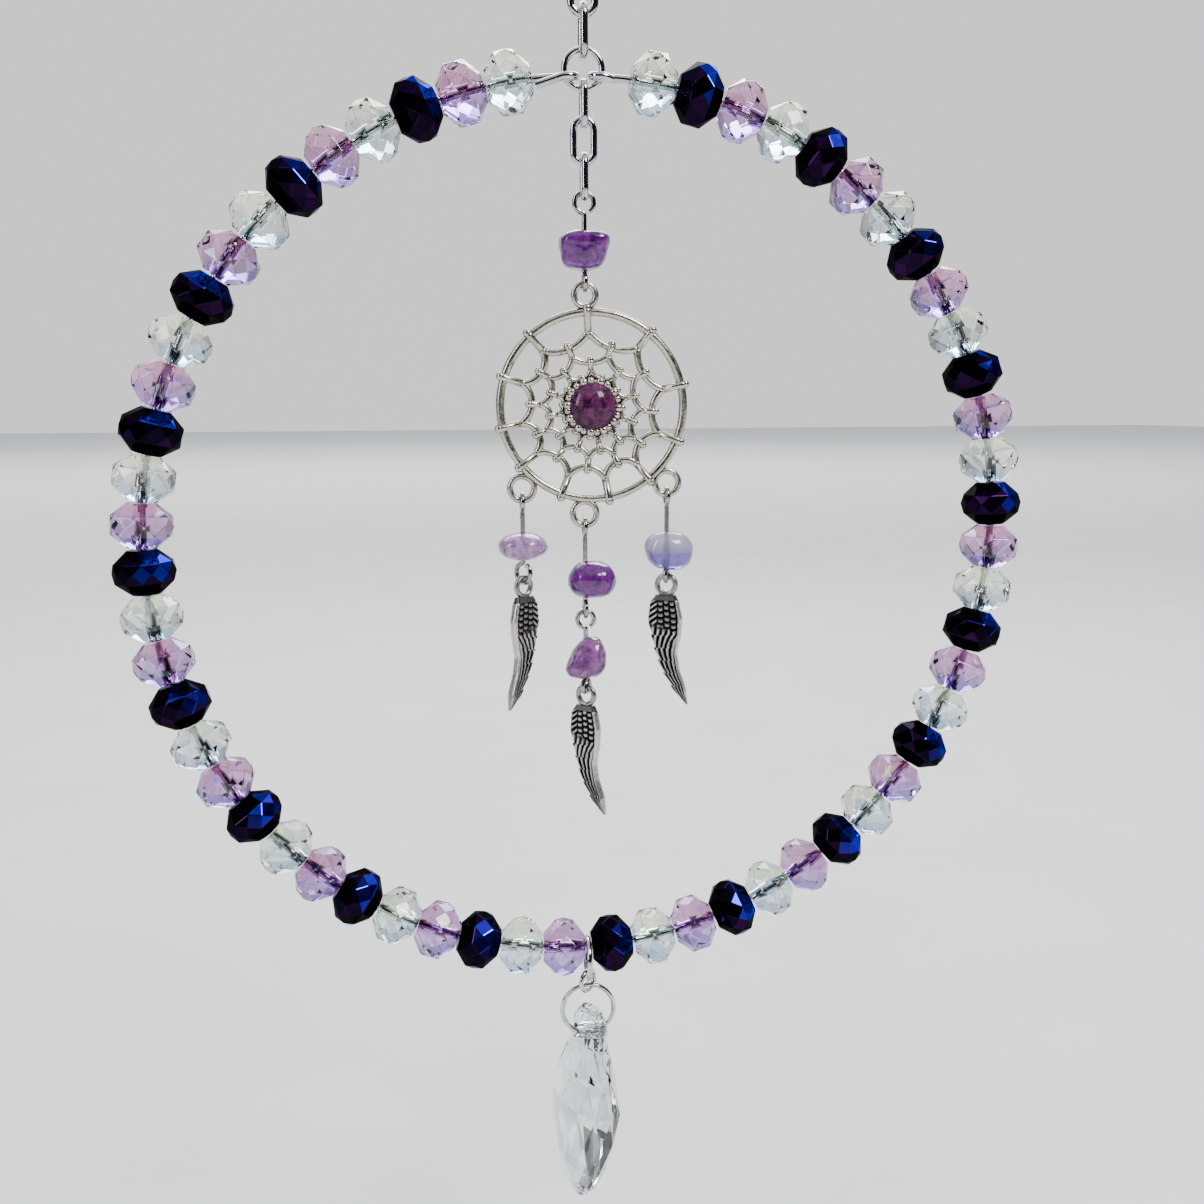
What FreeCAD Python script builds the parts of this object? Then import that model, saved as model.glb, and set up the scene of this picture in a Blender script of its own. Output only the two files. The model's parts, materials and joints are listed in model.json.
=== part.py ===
import FreeCAD, Part
import math
import os

# A hanging dream catcher: a beaded memory-wire hoop with a web medallion, gemstone
# chips, wing charms and a cut-glass drop, all hung on rings, links and eye pins.
# Millimetres. +Z is up, the hoop faces -Y, and the origin is the centre of the
# hanging ring, so everything hangs below it.

V = FreeCAD.Vector
X_AXIS, Y_AXIS, Z_AXIS = V(1, 0, 0), V(0, 1, 0), V(0, 0, 1)

# ---------------------------------------------------------------- driving dimensions
CONTACT_GAP = 0.03            # left between two wires that rest on each other
SKEW_SPARE = 0.15             # more is left where round rings cross at 45 degrees
TINY = 1e-6                   # sewing tolerance, and degrees that keep off an arc's end
HAIR = 1e-9                   # degrees past an arc's start where its section is drawn

HOOP_HALF_LONG = 58.3         # the wire's centre line is an oval of four arcs
HOOP_HALF_SHORT = 56.7
HOOP_LEAN = 22.1              # degrees, long axis from vertical, clockwise from the front
HOOP_WIRE = 1.1
HOOP_SIDE = -0.15             # centre of the hoop from the plumb line

BEAD_COUNT = 58
BEAD_DIAMETER = 8.0
BEAD_LENGTH = 5.76
BEAD_PITCH = 6.0
BEAD_SIDES = 10
BEAD_FLAT = 3.8               # diameter of the flat ends
BEAD_BELT = 2.5               # length of the diamond facets round the middle
BEAD_BORE = 1.28
BEADS_PER_SECTOR = 6
BEAD_COLOURS = ("clear", "dark", "lilac")
BEAD_SPIN = 137.5             # each bead is turned this much more than the last, degrees

DROP_AT = 179.6               # the drop loop's place along the wire from the hoop's top
DROP_SPACE = 0.85             # left between two beads for the drop loop

HOOK_BEND = 1.2               # centre-line radius of the hooks at the hoop wire's ends
HOOK_TILT = 10.0              # degrees that a hook dips towards the front
HOOK_SIDE = 2.24              # hook centres from the plumb line
TAIL_TURN = 24.0              # degrees that a hook's tail turns back to the wire
TAIL_TILT = 27.0
LEFT_TAIL, RIGHT_TAIL = 3.5, 0.9

HANGING_RING = (12.0, 1.2)    # outside diameter and wire of the plain rings
JOINING_RING = (5.6, 0.8)
DROP_LOOP = (6.4, 0.75)
SMALL_RING = (3.6, 0.66)
BIG_RING = (8.0, 0.66)
UPPER_LINK = (7.0, 4.0, 1.0)  # outside length, outside width and wire of the links
CENTRE_LINK = (6.2, 3.5, 0.9)
RING_ABOVE_HOOKS = 0.85       # joining ring's centre above the hook centres

PIN_WIRE = 0.66
PIN_NECK = 0.4                # centre-line radius of the small bend under an eye
EYE_CLOSE = 60.0              # degrees past level where an eye's end stops
STONE_BORE = 0.80
STONE_REST = 0.05             # left between a stone and the eye under it
STONE_ROWS, STONE_SIDES = 9, 14

# eye pins: length between the wire centres at both ends, then each eye's (radius, yaw)
TOP_PIN = (12.05, (1.24, 0), (1.0, 90))
LEFT_PIN = (11.7, (1.0, 90), (1.3, -50))
RIGHT_PIN = (12.4, (1.0, 90), (0.85, 68))
CENTRE_UPPER_PIN = (13.0, (1.0, 90), (1.0, 90))
CENTRE_LOWER_PIN = (11.1, (1.1, 0), (0.85, 50))
# stones: (width, depth, height), lean in degrees, body's centre to the side of the bore,
# and how far the chipped mouth of the bore lets the stone sink over the eye
TOP_STONE = ((6.6, 5.4, 5.0), 6.0, 0.0, 0.0)
LEFT_STONE = ((6.6, 6.0, 3.8), 0.0, 0.0, 0.0)
RIGHT_STONE = ((6.6, 5.6, 5.5), -5.0, 0.3, 0.8)
CENTRE_UPPER_STONE = ((6.7, 5.8, 5.0), 12.0, 0.9, 0.0)
CENTRE_LOWER_STONE = ((5.8, 5.2, 5.7), 20.0, 0.0, 0.0)
MOUTH_RADIUS = 1.22           # of the bore's chipped mouth

CASTING_RING = (25.1, 1.05)   # outside diameter and band of the web medallion
CASTING_SIDE = 0.9            # its centre from the plumb line
CASTING_DROP = 14.1           # its centre below its top loop's centre
WEB_THICKNESS = 0.86
WEB_KNOTS = (-3, 39, 77, 112, 142, 170, 200, 231, 257, 288, 318)  # degrees, clockwise
WEB_ROUNDS = ((1.0, 0.79, 0.655), (0.655, 0.56, 0.465), (0.465, 0.385, 0.30))
WEB_STRANDS = (0.85, 0.72, 0.62)
KNOT_SIZE = 0.55
TOP_LOOP = (3.65, 0.85)
SIDE_LOOP = (4.0, 0.85)
SIDE_LOOPS = {"left": (-138.5, 14.1), "centre": (184.5, 14.0), "right": (135.5, 14.1)}
CUP_OUTER, CUP_INNER = 3.5, 3.06
CUP_HEIGHT, CUP_FLOOR = 1.35, 0.3
CABOCHON_RADIUS, CABOCHON_HEIGHT = 3.04, 2.5

WING_LOOP = (3.25, 0.78)
WING_THICKNESS = 1.3
WING_LENGTH = 16.4            # loop centre to tip
# outline from the neck to the tip, as (across, down) in parts of the length
WING_TRAILING = ((-0.085, 0.085), (-0.135, 0.15), (-0.152, 0.30), (-0.115, 0.50),
                 (-0.05, 0.70), (0.06, 0.88), (0.175, 1.0))
WING_LEADING = ((0.185, 1.0), (0.165, 0.86), (0.115, 0.72), (0.093, 0.58),
                (0.125, 0.42), (0.135, 0.28), (0.105, 0.14), (0.075, 0.085))

CRYSTAL_LENGTH = 28.4
CRYSTAL_WIDTH, CRYSTAL_THICKNESS = 15.0, 8.0
CRYSTAL_SIDES = 12
CRYSTAL_YAW = 22.0
CRYSTAL_LEAN = 4.0            # degrees that it hangs to one side
CRYSTAL_BALANCE = 0.5         # share of its lean that the ring's place on the bore makes up
CRYSTAL_BORE = 2.1
CRYSTAL_HOLE_DOWN = 3.0       # bore centre below the top
CRYSTAL_HOLE_LIFT = 0.45      # bore centre above the ring wire that it hangs on
# (distance down, width) in parts of the length and the full width, at each ring of corners
CRYSTAL_RINGS = ((0.0, 0.30), (0.05, 0.46), (0.155, 0.54), (0.31, 0.79), (0.46, 1.0),
                 (0.62, 0.92), (0.80, 0.69), (0.92, 0.46), (1.0, 0.16))


# ---------------------------------------------------------------- small helpers
def level(yaw):
    """Level direction, turned from +X about Z."""
    return V(math.cos(math.radians(yaw)), math.sin(math.radians(yaw)), 0)


def disc(centre, normal, radius):
    return Part.Face(Part.Wire(Part.makeCircle(radius, centre, normal)))


def joined(solids):
    """One solid from pieces that share faces or overlap."""
    if len(solids) == 1:
        return solids[0]
    return solids[0].fuse(solids[1:]).removeSplitter().Solids[0]


def ring(size, centre, normal):
    """Round ring from (outside diameter, wire diameter)."""
    outside, wire = size
    return Part.makeTorus((outside - wire) / 2, wire / 2, centre, normal)


class BentWire:
    """Round wire that is bent step by step, the way pliers bend it."""

    def __init__(self, start, heading, diameter):
        self.at = start
        self.heading = heading.normalize()
        self.radius = diameter / 2
        self.pieces = []

    def run(self, length):
        self.pieces.append(Part.makeCylinder(self.radius, length, self.at, self.heading))
        self.at = self.at + self.heading * length
        return self

    def turn(self, bend_radius, degrees, towards):
        centre = self.at + towards * bend_radius
        axis = self.heading.cross(towards)
        section = disc(self.at, self.heading, self.radius)
        self.pieces.append(section.revolve(centre, axis, degrees))
        spin = FreeCAD.Rotation(axis, degrees)
        self.at = centre + spin.multVec(self.at - centre)
        self.heading = spin.multVec(self.heading)
        return self

    def solid(self):
        return joined(self.pieces)


def link(size, top, across):
    """Oval chain link whose wire centre is at top, lying in the plane of across and Z."""
    length, width, wire = size
    bend = (width - wire) / 2
    side = (length - width) / 2
    start = top + across * bend - Z_AXIS * (bend + side)
    made = BentWire(start, Z_AXIS, wire).run(side)
    made.turn(bend, 180, across * -1).run(2 * side).turn(bend, 180, across).run(side)
    return made.solid()


def lowest(size, top):
    """Wire centre at the bottom of a ring or link that hangs from top."""
    return top - Z_AXIS * (size[0] - size[-1])


def hung(support, upper_wire, lower_wire, spare=0.0):
    """Wire centre of a piece that rests on the wire whose centre is support."""
    return support + Z_AXIS * ((upper_wire + lower_wire) / 2 + CONTACT_GAP + spare)


def eye(centre, radius, across, up):
    """Open eye at a pin's end; up points away from the shaft. Returns solid, neck point."""
    lean = math.acos(PIN_NECK / (PIN_NECK + radius))
    reach = (PIN_NECK + radius) * math.sin(lean)
    neck = centre - up * reach
    wire = BentWire(neck, V(up), PIN_WIRE)
    wire.turn(PIN_NECK, math.degrees(lean), across * -1)
    around = across * math.cos(lean) + up * math.sin(lean)
    wire.turn(radius, 180 + math.degrees(lean) + EYE_CLOSE, around)
    return wire.solid(), neck


def eye_pin(top, bottom, top_eye, bottom_eye):
    """Pin from the wire centre top to the wire centre bottom; an eye is (radius, yaw)."""
    upper, upper_neck = eye(top - Z_AXIS * top_eye[0], top_eye[0], level(top_eye[1]), Z_AXIS)
    lower, lower_neck = eye(bottom + Z_AXIS * bottom_eye[0], bottom_eye[0],
                            level(bottom_eye[1]), Z_AXIS * -1)
    shaft = Part.makeCylinder(PIN_WIRE / 2, (upper_neck - lower_neck).Length, lower_neck)
    return joined([upper, shaft, lower]), lower_neck


def polyhedron(faces):
    """Closed solid from flat faces, each a list of corners."""
    flat = [Part.Face(Part.makePolygon(list(face) + [face[0]])) for face in faces]
    solid = Part.Solid(Part.Shell(flat))
    solid.fix(TINY, TINY, TINY)
    if solid.Volume < 0:
        solid.reverse()
    return solid


def corner_ring(number, sides, half_x, half_y, height):
    """Level ring of corners; every second ring is turned by half a step."""
    angles = [2 * math.pi * (k + number % 2 / 2) / sides for k in range(sides)]
    return [V(half_x * math.cos(angle), half_y * math.sin(angle), height) for angle in angles]


def facet_bands(rings):
    """Triangles between each two rings of corners, and a flat face at both ends."""
    sides = len(rings[0])
    faces = [rings[0], rings[-1]]
    for number, (upper, lower) in enumerate(zip(rings, rings[1:])):
        ahead = number % 2
        for k in range(sides):
            after = (k + 1) % sides
            faces.append([upper[k], upper[after], lower[(k + ahead) % sides]])
            faces.append([lower[k], lower[after], upper[(k + 1 - ahead) % sides]])
    return faces


def stone(rest_on, size, lean, off_centre, sink):
    """Tumbled stone of small facets, bored for its pin, just above rest_on."""
    across, deep, tall = size
    rings = []
    for row in range(STONE_ROWS):
        angle = math.pi * (row + 0.5) / STONE_ROWS
        half = math.sin(angle) / 2
        rings.append(corner_ring(row, STONE_SIDES, across * half, deep * half,
                                 tall / 2 * math.cos(angle)))
    solid = polyhedron(facet_bands(rings))
    solid.rotate(V(), Y_AXIS, lean)
    solid.translate(V(off_centre, 0, -solid.BoundBox.ZMin))
    bore = Part.makeCylinder(STONE_BORE / 2, 3 * tall, V(0, 0, -tall), Z_AXIS)
    if sink:
        mouth = Part.makeCylinder(MOUTH_RADIUS, tall + sink, V(0, 0, -tall), Z_AXIS)
        bore = bore.fuse(mouth)
    solid = solid.cut(bore).Solids[0]
    solid.translate(rest_on + Z_AXIS * (STONE_REST - sink))
    return solid


# ---------------------------------------------------------------- hoop and beads
OVAL_SHIFT = (HOOP_HALF_LONG - HOOP_HALF_SHORT) / (2 - math.sqrt(2))
TIGHT_BEND = HOOP_HALF_LONG - OVAL_SHIFT
SLACK_BEND = HOOP_HALF_SHORT + OVAL_SHIFT


def oval_arc(index):
    """Centre and radius of arc number index, clockwise from the top right one."""
    direction = HOOP_LEAN + 90 * index
    tight = index % 2 == 0
    reach = OVAL_SHIFT if tight else -OVAL_SHIFT
    angle = math.radians(direction)
    centre = V(HOOP_SIDE + reach * math.sin(angle), 0, reach * math.cos(angle))
    return centre, (TIGHT_BEND if tight else SLACK_BEND)


def oval_index(normal):
    return math.floor((normal - HOOP_LEAN + 45) / 90)


def oval_point(normal):
    """Point of the oval, in the hoop's own frame, from its outward normal's angle."""
    centre, radius = oval_arc(oval_index(normal))
    angle = math.radians(normal)
    return centre + V(radius * math.sin(angle), 0, radius * math.cos(angle))


def oval_normal(distance):
    """Normal angle at a distance along the wire, clockwise from the top."""
    normal = 0.0
    while True:
        index = oval_index(normal + TINY)
        radius = oval_arc(index)[1]
        end = HOOP_LEAN + 45 + 90 * index
        length = math.radians(end - normal) * radius
        if distance <= length:
            return normal + math.degrees(distance / radius)
        distance -= length
        normal = end


HOOK_LIFT = HOOK_BEND * math.sin(math.radians(HOOK_TILT))
HOOP_BACK = HOOK_BEND * math.cos(math.radians(HOOK_TILT))


def hook_normal(side):
    """Normal angle where the wire starts to hook, on the side -1 or 1."""
    centre, radius = oval_arc(0)
    return math.degrees(math.asin((side * HOOK_SIDE - centre.x) / radius))


WIRE_TOP = (oval_point(hook_normal(-1)).z + oval_point(hook_normal(1)).z) / 2

# heights down the plumb line, first with the hoop's centre at zero
joining_height = WIRE_TOP - HOOK_LIFT + RING_ABOVE_HOOKS
joining_top = V(0, 0, joining_height + (JOINING_RING[0] - JOINING_RING[1]) / 2)
link_1_low = joining_top - hung(V(), UPPER_LINK[2], JOINING_RING[1])
link_step = UPPER_LINK[0] - UPPER_LINK[2] - (UPPER_LINK[2] + CONTACT_GAP)
link_3_low = link_1_low + Z_AXIS * 2 * link_step
link_3_top = link_3_low + Z_AXIS * (UPPER_LINK[0] - UPPER_LINK[2])
hanging_low = link_3_top - hung(V(), HANGING_RING[1], UPPER_LINK[2])
hanging_height = hanging_low.z + (HANGING_RING[0] - HANGING_RING[1]) / 2
HOOP_CENTRE = V(0, HOOP_BACK, -hanging_height)


def place(point):
    """From the hoop's own frame to the part's frame."""
    return point + HOOP_CENTRE


def hook(side):
    """Hook and tail at one end of the hoop wire."""
    normal = hook_normal(side)
    start = place(oval_point(normal))
    angle = math.radians(normal)
    inward = V(math.cos(angle), 0, -math.sin(angle)) * -side
    tilt, tail = math.radians(HOOK_TILT), math.radians(TAIL_TILT)
    wire = BentWire(start, inward, HOOP_WIRE)
    dip = V(0, -math.cos(tilt), -math.sin(tilt))
    dip = (dip - inward * dip.dot(inward)).normalize()
    wire.turn(HOOK_BEND, 180, dip)
    back = V(0, math.cos(tail), -math.sin(tail))
    back = (back - inward * back.dot(inward)).normalize()
    wire.turn(HOOK_BEND, TAIL_TURN, back)
    wire.run(LEFT_TAIL if side < 0 else RIGHT_TAIL)
    return wire.pieces


def hoop_wire():
    """Whole wire: the oval from hook to hook, and the hooks."""
    start, end = hook_normal(1), 360 + hook_normal(-1)
    joints = [HOOP_LEAN + 45 + 90 * index for index in range(4)]
    stops = [start] + [stop for stop in joints if start < stop < end] + [end]
    pieces = []
    for first, last in zip(stops, stops[1:]):
        centre, _ = oval_arc(oval_index((first + last) / 2))
        angle = math.radians(first)
        heading = V(math.cos(angle), 0, -math.sin(angle))
        section = disc(place(oval_point(first + HAIR)), heading, HOOP_WIRE / 2)
        pieces.append(section.revolve(place(centre), Y_AXIS, last - first))
    return joined(pieces + hook(-1) + hook(1))


def bead():
    """Faceted rondelle at the origin, bored along X."""
    step = 2 * math.pi / BEAD_SIDES
    widest = BEAD_DIAMETER / 2

    def corners(x, radius, shift):
        return [V(x, radius * math.cos((k + shift) * step), radius * math.sin((k + shift) * step))
                for k in range(BEAD_SIDES)]

    belt = widest * math.cos(step / 2)
    middle = corners(0, widest, 0.5)
    right = corners(BEAD_BELT / 2, belt, 0)
    left = corners(-BEAD_BELT / 2, belt, 0)
    right_end = corners(BEAD_LENGTH / 2, BEAD_FLAT / 2, 0.5)
    left_end = corners(-BEAD_LENGTH / 2, BEAD_FLAT / 2, 0.5)
    faces = [right_end, left_end[::-1]]
    for k in range(BEAD_SIDES):
        after = (k + 1) % BEAD_SIDES
        faces.append([right[k], middle[k - 1], left[k], middle[k]])
        for near, end in ((right, right_end), (left, left_end)):
            faces.append([near[k], near[after], middle[k]])
            faces.append([near[k], near[after], end[k]])
            faces.append([end[k - 1], end[k], near[k]])
    solid = polyhedron(faces)
    bore = Part.makeCylinder(BEAD_BORE / 2, 2 * BEAD_LENGTH, V(-BEAD_LENGTH, 0, 0), X_AXIS)
    return solid.cut(bore).Solids[0]


def bead_groups():
    """Beads on the wire, as node name to compound of like beads in one sector."""
    model = bead()
    groups = {}
    half = BEAD_COUNT // 2
    for number in range(BEAD_COUNT):
        aside = DROP_SPACE / 2 if number >= half else -DROP_SPACE / 2
        normal = oval_normal(DROP_AT + aside + (number - half + 0.5) * BEAD_PITCH)
        turned = model.copy()
        turned.rotate(V(), X_AXIS, number * BEAD_SPIN)
        turned.rotate(V(), Y_AXIS, normal)
        turned.translate(place(oval_point(normal)))
        colour = BEAD_COLOURS[number % len(BEAD_COLOURS)]
        sector = number // BEADS_PER_SECTOR + 1
        groups.setdefault(f"{colour}_beads_{sector:02d}", []).append(turned)
    return {name: Part.makeCompound(beads) for name, beads in groups.items()}


# ---------------------------------------------------------------- web medallion
def casting_point(centre, degrees, radius):
    """Point in the medallion's plane; degrees run clockwise from the top."""
    angle = math.radians(degrees)
    return centre + V(radius * math.sin(angle), 0, radius * math.cos(angle))


def strand(start, middle, end, width):
    """Flat curved strip through three points, in the medallion's mid plane."""
    circle = Part.Circle(start, middle, end)
    centre, radius = circle.Center, circle.Radius
    edges = []
    for grown in (radius - width / 2, radius + width / 2):
        points = [centre + (p - centre) * (grown / radius) for p in (start, middle, end)]
        edges.append(Part.Arc(*points))
    inner, outer = edges
    outline = [inner.toShape(), Part.makeLine(inner.EndPoint, outer.EndPoint),
               outer.toShape(), Part.makeLine(outer.StartPoint, inner.StartPoint)]
    return Part.Face(Part.Wire(Part.__sortEdges__(outline)))


def stem(start, end, width):
    along = (end - start).normalize()
    side = along.cross(Y_AXIS) * (width / 2)
    return Part.Face(Part.makePolygon([start + side, end + side, end - side, start - side,
                                       start + side]))


def web_faces(centre):
    """Flat strips of the web: each round hangs in arcs between the knots of the last."""
    outer = (CASTING_RING[0] - CASTING_RING[1]) / 2
    knots = list(WEB_KNOTS)
    faces = []
    for (knot_at, fork_at, sag_at), width in zip(WEB_ROUNDS, WEB_STRANDS):
        following = knots[1:] + [knots[0] + 360]
        halfway = [(a + b) / 2 for a, b in zip(knots, following)]
        for here, after, middle in zip(knots, following, halfway):
            faces.append(stem(casting_point(centre, here, knot_at * outer),
                              casting_point(centre, here, fork_at * outer), width))
            faces.append(strand(casting_point(centre, here, fork_at * outer),
                                casting_point(centre, middle, sag_at * outer),
                                casting_point(centre, after, fork_at * outer), width))
            faces.append(disc(casting_point(centre, here, knot_at * outer), Y_AXIS, KNOT_SIZE))
        knots = halfway
    inner = WEB_ROUNDS[-1][-1] * outer
    faces += [stem(casting_point(centre, knot, inner + KNOT_SIZE),
                   casting_point(centre, knot, CUP_INNER), WEB_STRANDS[-1]) for knot in knots]
    return faces


def medallion(top):
    """Cast ring, web, stone cup and loops as one piece; returns it and its points."""
    loop_centre = top - Z_AXIS * (TOP_LOOP[0] - TOP_LOOP[1]) / 2
    centre = loop_centre + V(CASTING_SIDE, 0, -CASTING_DROP)
    faces = web_faces(centre)
    sheet = faces[0].fuse(faces[1:]).removeSplitter()
    web = sheet.extrude(Y_AXIS * WEB_THICKNESS)
    web.translate(Y_AXIS * (-WEB_THICKNESS / 2))
    floor = WEB_THICKNESS / 2
    cup = Part.makeCylinder(CUP_OUTER, CUP_HEIGHT, centre + Y_AXIS * floor, Y_AXIS * -1)
    pocket = Part.makeCylinder(CUP_INNER, CUP_HEIGHT, centre + Y_AXIS * (floor - CUP_FLOOR),
                               Y_AXIS * -1)
    parts = [ring(CASTING_RING, centre, Y_AXIS), cup, ring(TOP_LOOP, loop_centre, Y_AXIS)]
    loops = {}
    for name, (degrees, radius) in SIDE_LOOPS.items():
        loops[name] = casting_point(centre, degrees, radius)
        parts.append(ring(SIDE_LOOP, loops[name], Y_AXIS))
    solid = parts[0].fuse(parts[1:] + web.Solids).cut(pocket)
    return solid, centre, loops


def cabochon(centre):
    """Round domed stone in the medallion's cup."""
    seat = centre + Y_AXIS * (WEB_THICKNESS / 2 - CUP_FLOOR - CONTACT_GAP)
    girdle = CUP_HEIGHT - CUP_FLOOR
    rise = CABOCHON_HEIGHT - girdle
    dome = (CABOCHON_RADIUS ** 2 + rise ** 2) / (2 * rise)
    ball = Part.makeSphere(dome, seat - Y_AXIS * (CABOCHON_HEIGHT - dome))
    return Part.makeCylinder(CABOCHON_RADIUS, CABOCHON_HEIGHT, seat, Y_AXIS * -1).common(ball)


# ---------------------------------------------------------------- wings and drop
def wing(top, yaw, tip_side):
    """Wing charm hung by the wire centre top, lying in the plane of yaw; tip to one side."""
    centre = top - Z_AXIS * (WING_LOOP[0] - WING_LOOP[1]) / 2
    trailing, leading = Part.BSplineCurve(), Part.BSplineCurve()
    for curve, outline in ((trailing, WING_TRAILING), (leading, WING_LEADING)):
        curve.interpolate([V(u, 0, -v) * WING_LENGTH for u, v in outline])
    edges = [trailing.toShape(), Part.makeLine(trailing.EndPoint, leading.StartPoint),
             leading.toShape(), Part.makeLine(leading.EndPoint, trailing.StartPoint)]
    plate = Part.Face(Part.Wire(edges)).extrude(Y_AXIS * WING_THICKNESS)
    plate.translate(Y_AXIS * (-WING_THICKNESS / 2))
    solid = joined([plate, ring(WING_LOOP, V(), Y_AXIS)])
    if tip_side < 0:
        solid = solid.mirror(V(), X_AXIS)
    solid.rotate(V(), Z_AXIS, yaw)
    solid.translate(centre)
    return solid


def crystal_drop(support):
    """Flat faceted drop that hangs on the ring wire whose centre is support."""
    rings = [corner_ring(number, CRYSTAL_SIDES, CRYSTAL_THICKNESS / 2 * share,
                         CRYSTAL_WIDTH / 2 * share, -down * CRYSTAL_LENGTH)
             for number, (down, share) in enumerate(CRYSTAL_RINGS)]
    solid = polyhedron(facet_bands(rings))
    solid.rotate(V(), Z_AXIS, CRYSTAL_YAW)
    solid.rotate(V(), Y_AXIS, CRYSTAL_LEAN)
    solid.translate(X_AXIS * (-CRYSTAL_BALANCE * solid.CenterOfMass.x))
    bore = Part.makeCylinder(CRYSTAL_BORE / 2, 2 * CRYSTAL_WIDTH,
                             V(-CRYSTAL_WIDTH, 0, -CRYSTAL_HOLE_DOWN), X_AXIS)
    solid = solid.cut(bore).Solids[0]
    solid.translate(support + Z_AXIS * (CRYSTAL_HOLE_DOWN + CRYSTAL_HOLE_LIFT))
    return solid


# ---------------------------------------------------------------- assembly
nodes = {}
pivots = {}    # child piece to (point, level axis) that it swings about


def hang(name, solid, point, axis):
    nodes[name] = solid
    pivots[name] = (point, axis)


def hang_ring(name, size, support, upper_wire, yaw, axis, spare=0.0):
    """Round ring that rests on the wire centre support; returns its own lowest point."""
    top = hung(support, upper_wire, size[1], spare)
    centre = top - Z_AXIS * (size[0] - size[1]) / 2
    normal = level(yaw).cross(Z_AXIS)
    hang(name, ring(size, centre, normal), support, axis)
    return lowest(size, top)


def hang_link(name, size, support, upper_wire, across):
    top = hung(support, upper_wire, size[2])
    axis = X_AXIS if across == Y_AXIS else Y_AXIS
    hang(name, link(size, top, across), support, axis)
    return lowest(size, top)


def upper_chain():
    """Hanging ring, three links and the joining ring; returns the ring's lowest point."""
    nodes["hanging_ring"] = ring(HANGING_RING, V(), Y_AXIS)
    at = V(0, 0, -(HANGING_RING[0] - HANGING_RING[1]) / 2)
    at = hang_link("upper_link_3", UPPER_LINK, at, HANGING_RING[1], Y_AXIS)
    at = hang_link("upper_link_2", UPPER_LINK, at, UPPER_LINK[2], X_AXIS)
    at = hang_link("upper_link_1", UPPER_LINK, at, UPPER_LINK[2], Y_AXIS)
    return hang_ring("joining_ring", JOINING_RING, at, UPPER_LINK[2], 0, Y_AXIS)


def hoop():
    """Hoop wire with its beads, and the loop, rings and drop under it."""
    hook_height = WIRE_TOP - HOOK_LIFT
    hang("hoop_wire", hoop_wire(), V(0, 0, hook_height - hanging_height), X_AXIS)
    nodes.update(bead_groups())
    at = place(oval_point(oval_normal(DROP_AT)))
    at = hang_ring("drop_loop", DROP_LOOP, at, HOOP_WIRE, 90, X_AXIS)
    at = hang_ring("small_ring", SMALL_RING, at, DROP_LOOP[1], 45, Y_AXIS, SKEW_SPARE)
    at = hang_ring("big_ring", BIG_RING, at, SMALL_RING[1], 0, level(45), SKEW_SPARE)
    hang("crystal_drop", crystal_drop(at), at, X_AXIS)


def strung(name, support, upper_wire, pin, axis, form):
    """Eye pin on the wire centre support with a stone on it; returns its lowest point."""
    length, top_eye, bottom_eye = pin
    top = hung(support, upper_wire, PIN_WIRE)
    bottom = top - Z_AXIS * length
    solid, rest = eye_pin(top, bottom, top_eye, bottom_eye)
    hang(f"{name}_pin", solid, support, axis)
    hang(f"{name}_stone", stone(rest, *form), V(support.x, support.y, rest.z), Z_AXIS)
    return bottom


def hang_wing(name, support, pin, tip_side):
    """Wing charm on a pin's bottom eye, lying square to that eye."""
    eye_yaw = pin[2][1]
    top = hung(support, PIN_WIRE, WING_LOOP[1])
    hang(name, wing(top, eye_yaw - 90 * tip_side, tip_side), support, level(eye_yaw))


def medallion_group(at):
    """Centre chain, the medallion and its three dangles."""
    at = hang_link("centre_link_1", CENTRE_LINK, at, JOINING_RING[1], Y_AXIS)
    at = hang_link("centre_link_2", CENTRE_LINK, at, CENTRE_LINK[2], X_AXIS)
    at = hang_link("centre_link_3", CENTRE_LINK, at, CENTRE_LINK[2], Y_AXIS)
    at = strung("top", at, CENTRE_LINK[2], TOP_PIN, Y_AXIS, TOP_STONE)
    solid, centre, loops = medallion(hung(at, PIN_WIRE, TOP_LOOP[1]))
    hang("medallion", solid, at, Y_AXIS)
    nodes["cabochon"] = cabochon(centre)

    wire = SIDE_LOOP[1]
    low = {name: point - Z_AXIS * (SIDE_LOOP[0] - wire) / 2 for name, point in loops.items()}
    at = strung("left", low["left"], wire, LEFT_PIN, X_AXIS, LEFT_STONE)
    hang_wing("left_wing", at, LEFT_PIN, -1)
    at = strung("right", low["right"], wire, RIGHT_PIN, X_AXIS, RIGHT_STONE)
    hang_wing("right_wing", at, RIGHT_PIN, 1)
    at = strung("centre_upper", low["centre"], wire, CENTRE_UPPER_PIN, X_AXIS,
                CENTRE_UPPER_STONE)
    at = strung("centre_lower", at, PIN_WIRE, CENTRE_LOWER_PIN, Y_AXIS, CENTRE_LOWER_STONE)
    hang_wing("centre_wing", at, CENTRE_LOWER_PIN, 1)


ring_bottom = upper_chain()
hoop()
medallion_group(ring_bottom)

os.makedirs("parts", exist_ok=True)
for node, shape in nodes.items():
    shape.exportStep(f"parts/{node}.step")
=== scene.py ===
import json
import math

import bmesh
import bpy
import numpy as np
from mathutils import Matrix, Vector, noise


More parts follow.
